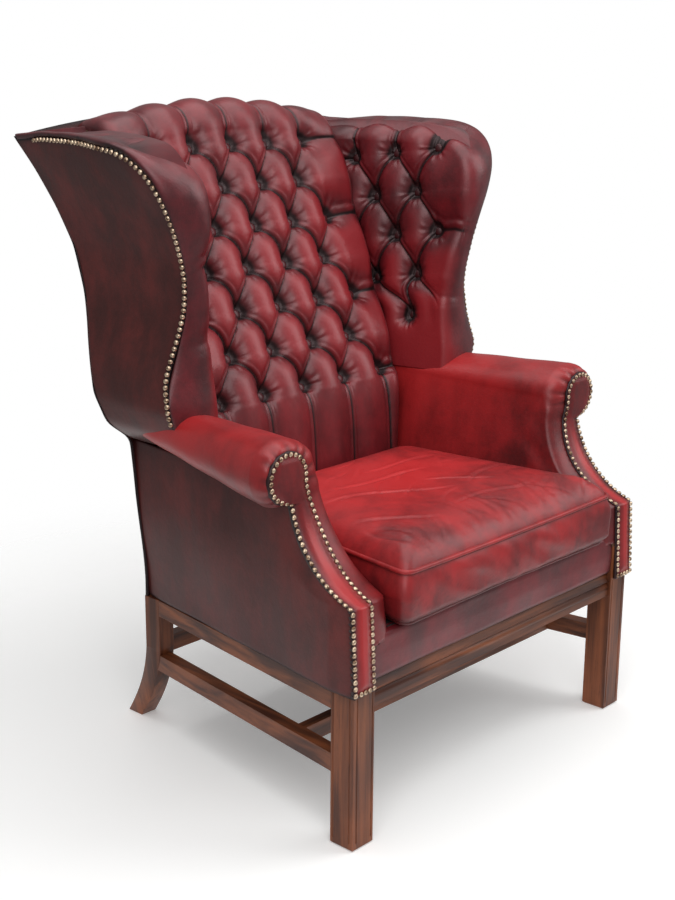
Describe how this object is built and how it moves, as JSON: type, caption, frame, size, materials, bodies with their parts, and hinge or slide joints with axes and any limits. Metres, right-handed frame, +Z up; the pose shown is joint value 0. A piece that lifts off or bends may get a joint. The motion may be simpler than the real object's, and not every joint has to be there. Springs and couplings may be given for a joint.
{
  "type": "wingback armchair",
  "caption": "Wingback armchair with a deep-buttoned leather back and wings, scrolled arms, nailed edges, a loose seat cushion and square mahogany legs joined by stretchers.",
  "frame": {"origin": "on the floor, under the middle of the chair", "axes": "+Z up, the chair faces -Y, +X is the side on the viewer's right from the front"},
  "size_m": [0.9016, 0.7976, 1.1289],
  "materials": {
    "mahogany": "waxed, worn at the corners",
    "frame_wood": "bare beech",
    "tufted_leather": "aged, semi-gloss",
    "arm_leather": "aged and rubbed, semi-gloss",
    "seat_leather": "aged and rubbed, semi-gloss",
    "outer_leather": "dark and mottled, satin",
    "webbing": "woven",
    "lining_cloth": "plain weave",
    "nail_brass": "antique, worn bright on the domes"
  },
  "bodies": {
    "chair": {"arm_facing_left": "arm_leather", "arm_facing_right": "arm_leather", "arm_pad_left": "arm_leather", "arm_pad_right": "arm_leather", "arm_rail_left": "frame_wood", "arm_rail_right": "frame_wood", "arm_stump_left": "frame_wood", "arm_stump_right": "frame_wood", "back_buttons": "tufted_leather", "back_pad": "tufted_leather", "back_webbing": "webbing", "corner_blocks": "frame_wood", "crest_rail": "frame_wood", "cross_stretcher": "mahogany", "dust_cover": "lining_cloth", "front_border": "arm_leather", "front_leg_left": "mahogany", "front_leg_right": "mahogany", "front_seat_rail": "mahogany", "outside_back": "outer_leather", "rear_post_left": "mahogany", "rear_post_right": "mahogany", "rear_seat_rail": "frame_wood", "rear_stretcher": "mahogany", "seat_deck": "lining_cloth", "seat_webbing": "webbing", "side_panel_left": "outer_leather", "side_panel_right": "outer_leather", "side_seat_rail_left": "mahogany", "side_seat_rail_right": "mahogany", "side_stretcher_left": "mahogany", "side_stretcher_right": "mahogany", "stay_rail": "frame_wood", "wing_buttons_left": "tufted_leather", "wing_buttons_right": "tufted_leather", "wing_frame_left": "frame_wood", "wing_frame_right": "frame_wood", "wing_outer_panel_left": "outer_leather", "wing_outer_panel_right": "outer_leather", "wing_pad_left": "tufted_leather", "wing_pad_right": "tufted_leather"},
    "cushion": {"seat_cushion": "seat_leather", "cushion_piping": "seat_leather"}
  },
  "joints": [
    {"name": "cushion_lift", "type": "slide", "parent": "chair", "child": "cushion", "axis": [0, -0.6, 0.8], "range_m": [0, 0.6]}
  ]
}
